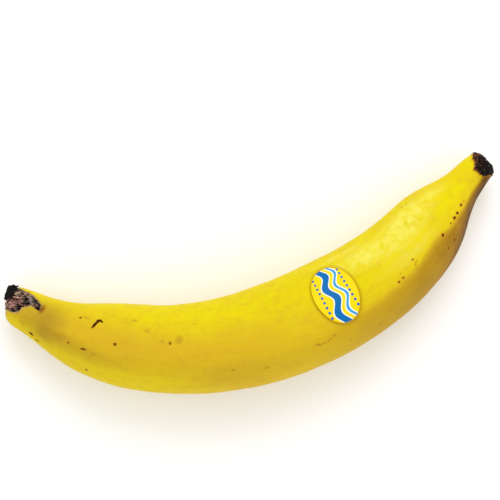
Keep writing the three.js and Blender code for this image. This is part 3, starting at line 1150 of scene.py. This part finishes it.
@dataclass(frozen=True)
class CoatedLabel:
    """Coated label paper with a plain printed pattern of waves and beads.

    The coating gives a tighter highlight than the waxy peel beside it.
    """

    field: str = "#f2cd00"
    ink: str = "#0466a8"
    pale_ink: str = "#3b96cb"
    white: str = "#ecece5"
    edge: str = "#bd9000"
    wave_length: float = 13.0
    wave_height: float = 1.5
    band_middles: tuple[float, float] = (-1.9, 3.4)
    bead_pitch: float = 2.6
    bead_rows: tuple[float, float] = (6.8, -7.0)
    far: float = 50.0
    roughness: float = 0.36

    def material(self) -> Material:
        """Returns the label's material."""
        made, tree, kept = new_material("coated_label_paper", self.field, {"printed": "Vector"})
        printed = kept["printed"]
        across, along, share = (add(tree, Node.SEPARATE, None, {0: printed}, name) for name in "XYZ")
        swing = add(tree, Node.MATH, MULTIPLY, {0: across, 1: 2 * math.pi / self.wave_length})
        swing = add(tree, Node.MATH, {"operation": "SINE"}, {0: swing})
        drawn = {"rim": share}
        for name, middle in zip(("wide_band", "thin_band"), self.band_middles):
            offset = add(tree, Node.MATH, MULTIPLY_ADD, {0: swing, 1: self.wave_height, 2: middle})
            offset = add(tree, Node.MATH, {"operation": "SUBTRACT"}, {0: along, 1: offset})
            drawn[name] = add(tree, Node.MATH, {"operation": "ABSOLUTE"}, {0: offset})
        half, far = self.bead_pitch / 2, self.far
        beads = add(tree, Node.VECTOR, {"operation": "WRAP"}, {
            0: printed, 1: (half, far, far), 2: (-half, -far, -far)})
        for name, middle in zip(("upper_beads", "lower_beads"), self.bead_rows):
            bead = add(tree, Node.VECTOR, {"operation": "SUBTRACT"}, {0: beads, 1: (0.0, middle, 0.0)})
            bead = add(tree, Node.VECTOR, MULTIPLY, {0: bead, 1: (1.0, 1.0, 0.0)})
            drawn[name] = add(tree, Node.VECTOR, {"operation": "LENGTH"}, {0: bead}, "Value")
        body = lay_tints(tree, colour(self.field), drawn, (
            Tint("wide_band", self.white, 2.38, 2.22), Tint("wide_band", self.ink, 1.83, 1.67),
            Tint("thin_band", self.white, 1.33, 1.17), Tint("thin_band", self.pale_ink, 0.78, 0.62),
            Tint("upper_beads", self.ink, 0.75, 0.6), Tint("lower_beads", self.ink, 0.75, 0.6),
            Tint("rim", self.edge, 0.955, 0.985)))
        fibre = add(tree, Node.NOISE, None, {"Vector": printed, "Scale": 0.7, "Detail": 3.0})
        lay_surface(tree, {
            "Base Color": body, "Roughness": self.roughness, "Specular IOR Level": 0.1,
        }, (fibre, 0.15, 0.1))
        return made


@dataclass(frozen=True)
class PaleFloor:
    """Matt white studio paper, with a tooth too fine to show, drawn coarser for a trace of life."""

    paper: str = "#fbfbfa"
    roughness: float = 0.9

    def material(self) -> Material:
        """Returns the floor's material."""
        made, tree, _ = new_material("matt_studio_paper", self.paper, {})
        place = add(tree, Node.COORDINATE, None, None, "Object")
        tooth = add(tree, Node.NOISE, None, {"Vector": place, "Scale": 400.0, "Detail": 2.0})
        lay_surface(tree, {
            "Base Color": colour(self.paper), "Roughness": self.roughness, "Specular IOR Level": 0.2,
        }, (tooth, 0.05, 0.1))
        return made


def keep_inside(tree: Tree, geometry: Socket, given: dict[str, Socket]) -> Socket:
    """Moves what stands out of the fruit's box back to its sides.

    Args:
        tree: The Geometry Nodes tree.
        geometry: The socket of the geometry.
        given: The tree's inputs, with the box's Low corner and High corner.

    Returns:
        The socket of the geometry inside the box.
    """
    position = add(tree, Node.POSITION)
    for operation, corner in (("MAXIMUM", "Low corner"), ("MINIMUM", "High corner")):
        position = add(tree, Node.VECTOR, {"operation": operation}, {0: position, 1: given[corner]})
    return add(tree, Node.SET_POSITION, None, {"Geometry": geometry, "Position": position})


@dataclass
class Fruit:
    """The fruit's fine surface: torn stem end, peel and dried cap as one closed body."""

    shape: FruitShape
    label: "OvalLabel"
    steps: int = 184
    tissue_rings: int = 44
    peel_rings: int = 372
    crust_rings: int = 46
    ring_crowding: float = 0.6
    dimple_depth: float = 0.05
    tissue_depth: float = 1.3
    crust_depth: float = 0.75
    crack_gain: float = 1.9
    char_at: float = -0.5
    char_turn: float = -48
    char_reach: float = 4.2
    char_spread: float = 40
    seed: float = 3.0

    def tissue(self, share: Array, line: Array) -> tuple[Array, Array, Array]:
        """Gives torn tissue from the middle of the stem end, at share 0, out to the peel, at share 1.

        Args:
            share: How far out a place is.
            line: The grown line that it is on, by its turn before any lean.

        Returns:
            The lengths, turns and radii.
        """
        shape = self.shape
        at = mix(shape.stem_start, shape.tear_line(line), share**shape.tissue_crowding)
        turn = line + shape.lean(at, line)
        skin = shape.peel_radius(at, turn)
        knob = shape.knob(at, turn)
        relief = shape.tissue_relief * shape.lumps(at, turn, skin) - shape.hollow(at, turn)[0]
        radius = skin - shape.tear_recess * share**2 + relief + shape.knob_height * knob
        return at - shape.knob_push * knob, turn, radius

    def peel(self, share: Array, line: Array) -> tuple[Array, Array, Array]:
        """Gives the peel from its torn lip, at share 0, to the cap, at share 1.

        Args:
            share: How far along a place is.
            line: The grown line that it is on, by its turn before any lean.

        Returns:
            The lengths, turns and radii.
        """
        shape = self.shape
        eased = share - self.ring_crowding * np.sin(2 * np.pi * share) / (2 * np.pi)
        start = shape.tear_line(line) + shape.lip_gap
        at = mix(start, shape.cap_line(line), eased)
        turn = line + shape.lean(at, line)
        rolled = shape.lip_radius * np.exp(-(at - start) / (shape.lip_reach * shape.lip_radius))
        return at, turn, shape.skin_radius(at, turn) - rolled

    def crust(self, share: Array, turn: Array) -> tuple[Array, Array, Array]:
        """Gives the crust from the cap's base line, at share 0, to the tip, at share 1.

        Args:
            share: How far out a place is.
            turn: Its turn.

        Returns:
            The lengths, turns and radii.
        """
        shape = self.shape
        start = shape.cap_line(turn)
        power = 2 / shape.cap_bluntness
        dome = mix(start + shape.cap_step, shape.tip, np.sin(np.pi * share / 2) ** power)
        narrowing = np.cos(np.pi * share / 2) ** power
        skin = (shape.peel_radius(start, turn) + shape.cap_proud) * narrowing
        radius = skin + shape.crust_relief * shape.lumps(dome, turn, skin)
        return dome - shape.pit_depth * bump(skin, shape.pit_radius), turn, radius

    def grid(self) -> SurfaceGrid:
        """Returns all the rings, from the stem end to the tip."""
        turn = np.arange(self.steps) * 360 / self.steps
        parts = []
        for rule, shares, zone in (
            (self.tissue, np.arange(1, self.tissue_rings + 1) / self.tissue_rings, Zone.TORN_TISSUE),
            (self.peel, np.arange(self.peel_rings + 1) / self.peel_rings, Zone.PEEL),
            (self.crust, np.arange(self.crust_rings) / self.crust_rings, Zone.DRIED_CAP),
        ):
            lines, spread = np.meshgrid(turn, shares)
            parts.append((*rule(spread, lines), lines, np.full(len(shares), int(zone))))
        return SurfaceGrid(*(np.concatenate(column) for column in zip(*parts)))

    def build(self, finishes: dict[Zone, Material]) -> Thing:
        """Builds and dresses the fruit.

        Args:
            finishes: The material of each zone.

        Returns:
            The finished object.
        """
        shape, grid = self.shape, self.grid()
        ends = np.array([shape.stem_start, shape.tip - shape.pit_depth])
        at = np.concatenate([ends[:1], grid.at.ravel(), ends[1:]])
        turn, radius, line = (
            np.concatenate([[0.0], row.ravel(), [0.0]]) for row in (grid.turn, grid.radius, grid.line))
        points = shape.place(at, turn, radius)
        piece = mesh_object("plantain_fruit", points, closed_faces(len(grid.at), self.steps))
        mesh = piece.data
        near, far = grid.zone[:-1], grid.zone[1:]
        between = np.minimum(near, far)
        zone = np.concatenate([
            np.full(self.steps, Zone.TORN_TISSUE),
            np.repeat(np.where(between == Zone.PEEL, near + far, between), 2 * self.steps),
            np.full(self.steps, Zone.DRIED_CAP),
        ])
        keep_value(mesh, "zone", zone, "FACE")
        ring_zone = np.concatenate([[Zone.TORN_TISSUE], np.repeat(grid.zone, self.steps), [Zone.DRIED_CAP]])
        for name, values in {
            "tissue": (ring_zone == Zone.TORN_TISSUE).astype(float),
            "crust": (ring_zone == Zone.DRIED_CAP).astype(float),
            "grown": np.stack([at, radius * sine(turn), radius * cosine(turn)], -1),
            "past_tear": at - shape.tear_line(line),
            "before_cap": shape.cap_line(line) - at,
            "charred": bump(turn_between(self.char_turn, turn), self.char_spread)
            * bump(at - self.char_at, self.char_reach),
            "hollow": shape.hollow(at, turn)[1],
            "along": shape.directions(at)[0],
            # Painted shadow round the label: how far each place is from the label's middle, for darkening the
            # peel just past its edge.
            "painted_label_shadow": self.label.share(at, turn),
        }.items():
            keep_value(mesh, name, values)
        low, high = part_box("plantain")
        piece.data = run_tree(piece, self.relief_tree(), {
            "Dimple depth": self.dimple_depth * MM, "Tissue depth": self.tissue_depth * MM,
            "Crust depth": self.crust_depth * MM, "Seed": self.seed, "Low corner": low, "High corner": high,
            "Peel": finishes[Zone.PEEL], "Torn tissue": finishes[Zone.TORN_TISSUE],
            "Dried cap": finishes[Zone.DRIED_CAP]})
        bpy.data.meshes.remove(mesh)
        piece.data.name = piece.name
        return piece

    def relief_tree(self) -> Tree:
        """Returns the tree that presses relief into the surface and gives each zone its finish."""
        zones = {"Peel": Zone.PEEL, "Torn tissue": Zone.TORN_TISSUE, "Dried cap": Zone.DRIED_CAP}
        tree, given = new_tree("SurfaceRelief", {
            **dict.fromkeys(("Dimple depth", "Tissue depth", "Crust depth", "Seed"), "NodeSocketFloat"),
            **dict.fromkeys(("Low corner", "High corner"), "NodeSocketVector"),
            **dict.fromkeys(zones, "NodeSocketMaterial")})
        place = add(tree, Node.KEPT, VECTORS, {"Name": "grown"})
        tissue, crust = (add(tree, Node.KEPT, NUMBERS, {"Name": name}) for name in ("tissue", "crust"))
        zone = add(tree, Node.KEPT, {"data_type": "INT"}, {"Name": "zone"})

        # Matted fibres run along the stem, so their pits are longer than they are wide.
        stretched = add(tree, Node.VECTOR, MULTIPLY, {0: place, 1: (0.5, 0.75, 0.75)})
        fibres, grit, dimples = (add(tree, Node.NOISE, {"noise_dimensions": "4D"}, {
            "Vector": where, "W": given["Seed"], "Scale": scale, "Detail": detail, "Roughness": rough,
        }) for where, scale, detail, rough in (
            (stretched, 1.0, 4.0, 0.62), (place, 0.9, 3.0, 0.6), (place, 0.16, 3.0, 0.5)))
        fibres = add(tree, Node.RANGE, None, {"Value": fibres, "From Min": 0.3, "From Max": 0.7})
        # Grains of crust stand between narrow cracks.
        cracks = add(tree, Node.VORONOI, {"voronoi_dimensions": "4D"}, {
            "Vector": place, "W": given["Seed"], "Scale": 0.85, "Randomness": 1.0}, "Distance")
        for factor in (grit, self.crack_gain):
            cracks = add(tree, Node.MATH, {**MULTIPLY, "use_clamp": True}, {0: cracks, 1: factor})
        pressed, cracked = (add(tree, Node.MATH, MULTIPLY, {0: relief, 1: share})
                            for relief, share in ((fibres, tissue), (cracks, crust)))
        relief = add(tree, Node.MATH, {"operation": "ADD"}, {0: pressed, 1: cracked})
        kept = add(tree, Node.KEEP, {**NUMBERS, "domain": "POINT"}, {
            "Geometry": given["Geometry"], "Name": "relief", "Value": relief})

        depth = add(tree, Node.MATH, MULTIPLY, {0: dimples, 1: given["Dimple depth"]})
        for relief, name in ((pressed, "Tissue depth"), (cracked, "Crust depth")):
            depth = add(tree, Node.MATH, MULTIPLY_ADD, {0: relief, 1: given[name], 2: depth})
        depth = add(tree, Node.MATH, MULTIPLY, {0: depth, 1: -1.0})
        normal = add(tree, Node.NORMAL, None, None, "Normal")
        inward = add(tree, Node.VECTOR, {"operation": "SCALE"}, {"Vector": normal, "Scale": depth})
        pressed_in = add(tree, Node.SET_POSITION, None, {"Geometry": kept, "Offset": inward})

        # The fruit stays inside its box and lies flat on the floor.
        shown = add(tree, Node.REALIZE, None, {"Geometry": keep_inside(tree, pressed_in, given)})
        for name, value in zones.items():
            chosen = add(tree, Node.COMPARE, SAME_NUMBER, {"A": zone, "B": int(value)})
            shown = add(tree, Node.SET_MATERIAL, None, {
                "Geometry": shown, "Selection": chosen, "Material": given[name]})
        add(tree, Node.TREE_OUTPUT, None, {0: shown})
        return tree


@dataclass
class Strewn:
    """Loose bits strewn over one zone of the fruit, each with its own size and tone."""

    name: str
    zone: Zone
    density: float
    seed: int
    smallest: tuple[float, float, float]
    largest: tuple[float, float, float]

    def sizes(self) -> dict[str, float]:
        """Returns the values of the tree's own inputs, by name."""
        raise NotImplementedError

    def bit(self, tree: Tree, given: dict[str, Socket]) -> Socket:
        """Returns the socket of one bit's mesh, from the tree and its inputs."""
        raise NotImplementedError

    def rotation(self, tree: Tree, given: dict[str, Socket]) -> Socket:
        """Returns the socket of the bits' rotations, from the tree and its inputs."""
        raise NotImplementedError

    def build(self, fruit: Thing, finish: Material) -> Thing:
        """Builds the bits on the fruit.

        Args:
            fruit: The finished fruit.
            finish: The bits' material.

        Returns:
            The finished object.
        """
        low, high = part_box("plantain")
        made = run_tree(fruit, self.tree(), self.sizes() | {
            "Count a square millimetre": self.density, "Seed": self.seed,
            "Low corner": low, "High corner": high, "Finish": finish})
        made.name = self.name
        return show(self.name, made)

    def tree(self) -> Tree:
        """Returns the tree that strews the bits over the zone."""
        number, vector = "NodeSocketFloat", "NodeSocketVector"
        tree, given = new_tree(self.name, {
            "Count a square millimetre": number, **dict.fromkeys(self.sizes(), number),
            "Seed": "NodeSocketInt", "Low corner": vector, "High corner": vector,
            "Finish": "NodeSocketMaterial"})
        zone = add(tree, Node.KEPT, {"data_type": "INT"}, {"Name": "zone"})
        chosen = add(tree, Node.COMPARE, SAME_NUMBER, {"A": zone, "B": int(self.zone)})
        density = add(tree, Node.MATH, MULTIPLY, {0: given["Count a square millimetre"], 1: 1 / MM**2})
        points = add(tree, Node.STREW, None, {
            "Mesh": given["Geometry"], "Selection": chosen, "Density": density, "Seed": given["Seed"],
        }, "Points")
        size = add(tree, Node.RANDOM, VECTORS, {
            "Min": self.smallest, "Max": self.largest, "Seed": given["Seed"]})
        bits = add(tree, Node.INSTANCE, None, {
            "Points": points, "Instance": self.bit(tree, given),
            "Rotation": self.rotation(tree, given), "Scale": size})
        tone = add(tree, Node.RANDOM, NUMBERS, {"Min": 0.0, "Max": 1.0, "Seed": given["Seed"]})
        bits = add(tree, Node.KEEP, {**NUMBERS, "domain": "INSTANCE"}, {
            "Geometry": bits, "Name": "tone", "Value": tone})
        shown = add(tree, Node.REALIZE, None, {"Geometry": bits})
        shown = keep_inside(tree, shown, given)
        shown = add(tree, Node.SET_MATERIAL, None, {"Geometry": shown, "Material": given["Finish"]})
        add(tree, Node.TREE_OUTPUT, None, {0: shown})
        return tree


@dataclass
class TornStrands(Strewn):
    """Loose tapered ends of fibre that lie along the torn stem tissue."""

    name: str = "stem_strands"
    zone: Zone = Zone.TORN_TISSUE
    density: float = 1.3
    seed: int = 11
    smallest: tuple[float, float, float] = (0.5, 0.5, 0.35)
    largest: tuple[float, float, float] = (1.2, 1.2, 1.3)
    length: float = 1.9
    thickness: float = 0.32
    taper: float = 0.3
    sideways: float = 0.7

    def sizes(self) -> dict[str, float]:
        """Returns the strands' length, thickness and stray to the side."""
        return {"Length": self.length * MM, "Thickness": self.thickness * MM, "Sideways": self.sideways}

    def bit(self, tree: Tree, given: dict[str, Socket]) -> Socket:
        """Returns the socket of one strand, from the tree and its inputs."""
        base, tip = (
            add(tree, Node.MATH, MULTIPLY, {0: given["Thickness"], 1: share / 2})
            for share in (1.0, self.taper))
        return add(tree, Node.CONE, None, {
            "Vertices": 5, "Side Segments": 3, "Radius Top": tip, "Radius Bottom": base,
            "Depth": given["Length"]}, "Mesh")

    def rotation(self, tree: Tree, given: dict[str, Socket]) -> Socket:
        """Returns the socket of rotations along the stem, from the tree and its inputs."""
        along = add(tree, Node.KEPT, VECTORS, {"Name": "along"})
        stray = add(tree, Node.RANDOM, VECTORS, {
            "Min": (-1.0, -1.0, -1.0), "Max": (1.0, 1.0, 1.0), "Seed": given["Seed"]})
        stray = add(tree, Node.VECTOR, {"operation": "SCALE"}, {"Vector": stray, "Scale": given["Sideways"]})
        heading = add(tree, Node.VECTOR, {"operation": "ADD"}, {0: along, 1: stray})
        return add(tree, Node.ALIGN, {"axis": "Z"}, {"Vector": heading})


@dataclass
class CapGrains(Strewn):
    """Angular grains that stand out of the dried cap."""

    name: str = "cap_grains"
    zone: Zone = Zone.DRIED_CAP
    density: float = 1.7
    seed: int = 7
    smallest: tuple[float, float, float] = (0.4, 0.4, 0.3)
    largest: tuple[float, float, float] = (1.0, 1.3, 0.8)
    size: float = 0.4

    def sizes(self) -> dict[str, float]:
        """Returns the grains' size."""
        return {"Size": self.size * MM}

    def bit(self, tree: Tree, given: dict[str, Socket]) -> Socket:
        """Returns the socket of one grain, from the tree and its inputs."""
        return add(tree, Node.BALL, None, {"Radius": given["Size"], "Subdivisions": 1}, "Mesh")

    def rotation(self, tree: Tree, given: dict[str, Socket]) -> Socket:
        """Returns the socket of rotations to any side, from the tree and its inputs."""
        return add(tree, Node.RANDOM, VECTORS, {
            "Min": (0.0, 0.0, 0.0), "Max": (6.28, 6.28, 6.28), "Seed": given["Seed"]})


@dataclass
class OvalLabel:
    """The oval label, a thin sheet that follows the peel, with one edge a little lifted."""

    shape: FruitShape
    at: float = 174.2
    turn: float = -14.4
    half_round: float = 15.4
    half_along: float = 11.1
    height: float = 0.48
    lift: float = 0.3
    lift_angle: float = 40
    lift_spread: float = 50
    sunk: float = 0.2
    edge_share: float = 0.55
    underside_share: float = 0.998
    rings: int = 24
    steps: int = 112

    def share(self, at: Array, turn: Array) -> Array:
        """Returns how far places are from the label's middle, as a share of its size."""
        middle_radius = self.shape.peel_radius(np.array(self.at), np.array(self.turn))
        across = np.radians(turn_between(self.turn, turn)) * middle_radius
        return np.hypot((at - self.at) / self.half_along, across / self.half_round)

    def places(self, share: Array, angle: Array, raised: Array) -> tuple[Array, Array]:
        """Gives points of the label.

        Args:
            share: How far out of the label's middle they are, from 0 to 1.
            angle: Their direction from the middle, in degrees from the fruit's length.
            raised: Their height over the peel.

        Returns:
            The points, and their places on the flat label with the share as the third number.
        """
        along = share * self.half_along * cosine(angle)
        across = share * self.half_round * sine(angle)
        middle_radius = self.shape.peel_radius(np.array(self.at), np.array(self.turn))
        turn = self.turn + np.degrees(across / middle_radius)
        at = self.at + along
        points = self.shape.place(at, turn, self.shape.skin_radius(at, turn) + raised)
        return points, np.stack([across, along, share], -1)

    def build(self, finish: Material) -> Thing:
        """Builds and dresses the label.

        Args:
            finish: The label's material.

        Returns:
            The finished object.
        """
        angles = np.arange(self.steps) * 360 / self.steps
        shares = np.arange(1, self.rings + 1) / self.rings
        lifted = bump(turn_between(self.lift_angle, angles), self.lift_spread)
        rows = []
        for share in shares:
            rows.append((share, self.height + self.lift * lifted * share**6))
        rows.append((1.0, self.edge_share * (self.height + self.lift * lifted)))
        for share in shares[::-4]:
            rows.append((share * self.underside_share, np.full(self.steps, -self.sunk)))
        points, flat = zip(*(
            self.places(np.full(self.steps, share), angles, raised) for share, raised in rows))
        top, top_flat = self.places(np.array(0.0), np.array(0.0), np.array(self.height))
        bottom, bottom_flat = self.places(np.array(0.0), np.array(0.0), np.array(-self.sunk))
        points = np.concatenate([top[None], *points, bottom[None]])
        piece = mesh_object("oval_label", points, closed_faces(len(rows), self.steps))
        keep_value(piece.data, "printed", np.concatenate([top_flat[None], *flat, bottom_flat[None]]))
        piece.data.materials.append(finish)
        return piece


@dataclass
class Studio:
    """A white paper floor, a large soft key light, soft fill from all round, and the camera."""

    eye: tuple[float, float, float] = (-0.7, 25.1, 1300.0)
    roll: float = -16.0
    lens: float = 183.6
    floor_size: float = 9.0
    floor_gap: float = 0.1
    key_power: float = 7.5
    key_size: tuple[float, float] = (1.1, 0.8)
    key_from: tuple[float, float, float] = (0.42, 0.85, 0.95)
    key_distance: float = 1.35
    fill_power: float = 3.7
    fill_size: float = 1.4
    fill_from: tuple[float, float, float] = (-0.25, -0.9, 0.55)
    sky: float = 0.92

    def floor(self) -> Thing:
        """Returns the floor, just under the fruit's resting spots."""
        half = self.floor_size / 2
        corners = [(-half, -half), (half, -half), (half, half), (-half, half)]
        mesh = bpy.data.meshes.new("floor")
        mesh.from_pydata([(x, y, -self.floor_gap * MM) for x, y in corners], [], [(0, 1, 2, 3)])
        mesh.materials.append(PaleFloor().material())
        return show("floor", mesh)

    def softbox(self, name: str, power: float, size: tuple[float, float], towards: Sequence[float]) -> None:
        """Adds a large soft light that faces the fruit.

        Args:
            name: The light's name.
            power: Its power in watts.
            size: Its width and height in metres.
            towards: The direction from the fruit to the light.
        """
        lamp = bpy.data.lights.new(name, "AREA")
        lamp.shape = "RECTANGLE"
        lamp.size, lamp.size_y = size
        lamp.energy = power
        box = show(name, lamp)
        direction = Vector(towards).normalized()
        box.location = direction * self.key_distance
        box.rotation_euler = direction.to_track_quat("Z", "Y").to_euler()

    def light(self) -> None:
        """Sets up the two soft lights, the even sky and the plain view of colours."""
        scene = bpy.context.scene
        self.softbox("key", self.key_power, self.key_size, self.key_from)
        self.softbox("fill", self.fill_power, (self.fill_size, self.fill_size), self.fill_from)
        world = bpy.data.worlds.new("studio")
        world.use_nodes = True
        world.node_tree.nodes.clear()
        sky = add(world.node_tree, Node.BACKGROUND, None, {
            "Color": (1.0, 1.0, 1.0, 1.0), "Strength": self.sky})
        add(world.node_tree, Node.WORLD_OUTPUT, None, {"Surface": sky})
        scene.world = world
        scene.view_settings.view_transform = "Standard"

    def camera(self) -> None:
        """Sets up the camera, straight above and turned as the photograph is."""
        data = bpy.data.cameras.new("camera")
        data.lens = self.lens
        data.clip_end = 50
        camera = show("camera", data)
        camera.location = Vector(self.eye) * MM
        camera.rotation_euler = (0, 0, math.radians(self.roll))
        bpy.context.scene.camera = camera


def attach(piece: Thing, slot: Slot, *nodes: str) -> None:
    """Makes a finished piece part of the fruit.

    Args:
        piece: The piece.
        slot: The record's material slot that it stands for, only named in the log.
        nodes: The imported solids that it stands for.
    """
    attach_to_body(piece, BODY)
    if nodes:
        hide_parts(*nodes)
    triangles = sum(len(face.vertices) - 2 for face in piece.data.polygons)
    log.info("%s: %d triangles, slot %s", piece.name, triangles, slot.value)


def main() -> None:
    """Builds the fruit, its label and the studio in order."""
    logging.basicConfig(level=logging.INFO, format="%(name)s: %(message)s")
    studio = Studio()
    studio.camera()
    studio.light()
    studio.floor()

    shape = FruitShape()
    tissue, crust = TornTissue(shape), DriedCrust()
    label = OvalLabel(shape)
    fruit = Fruit(shape, label).build({
        Zone.PEEL: RipePeel(shape).material(),
        Zone.TORN_TISSUE: tissue.material(),
        Zone.DRIED_CAP: crust.material(),
    })
    strands = TornStrands().build(fruit, tissue.strand_material())
    grains = CapGrains().build(fruit, crust.grain_material())
    sheet = label.build(CoatedLabel().material())

    attach(fruit, Slot.PEEL, "plantain")
    attach(strands, Slot.TORN_TISSUE)
    attach(grains, Slot.DRIED_CAP)
    attach(sheet, Slot.LABEL, "label")


if __name__ == "__main__":
    main()
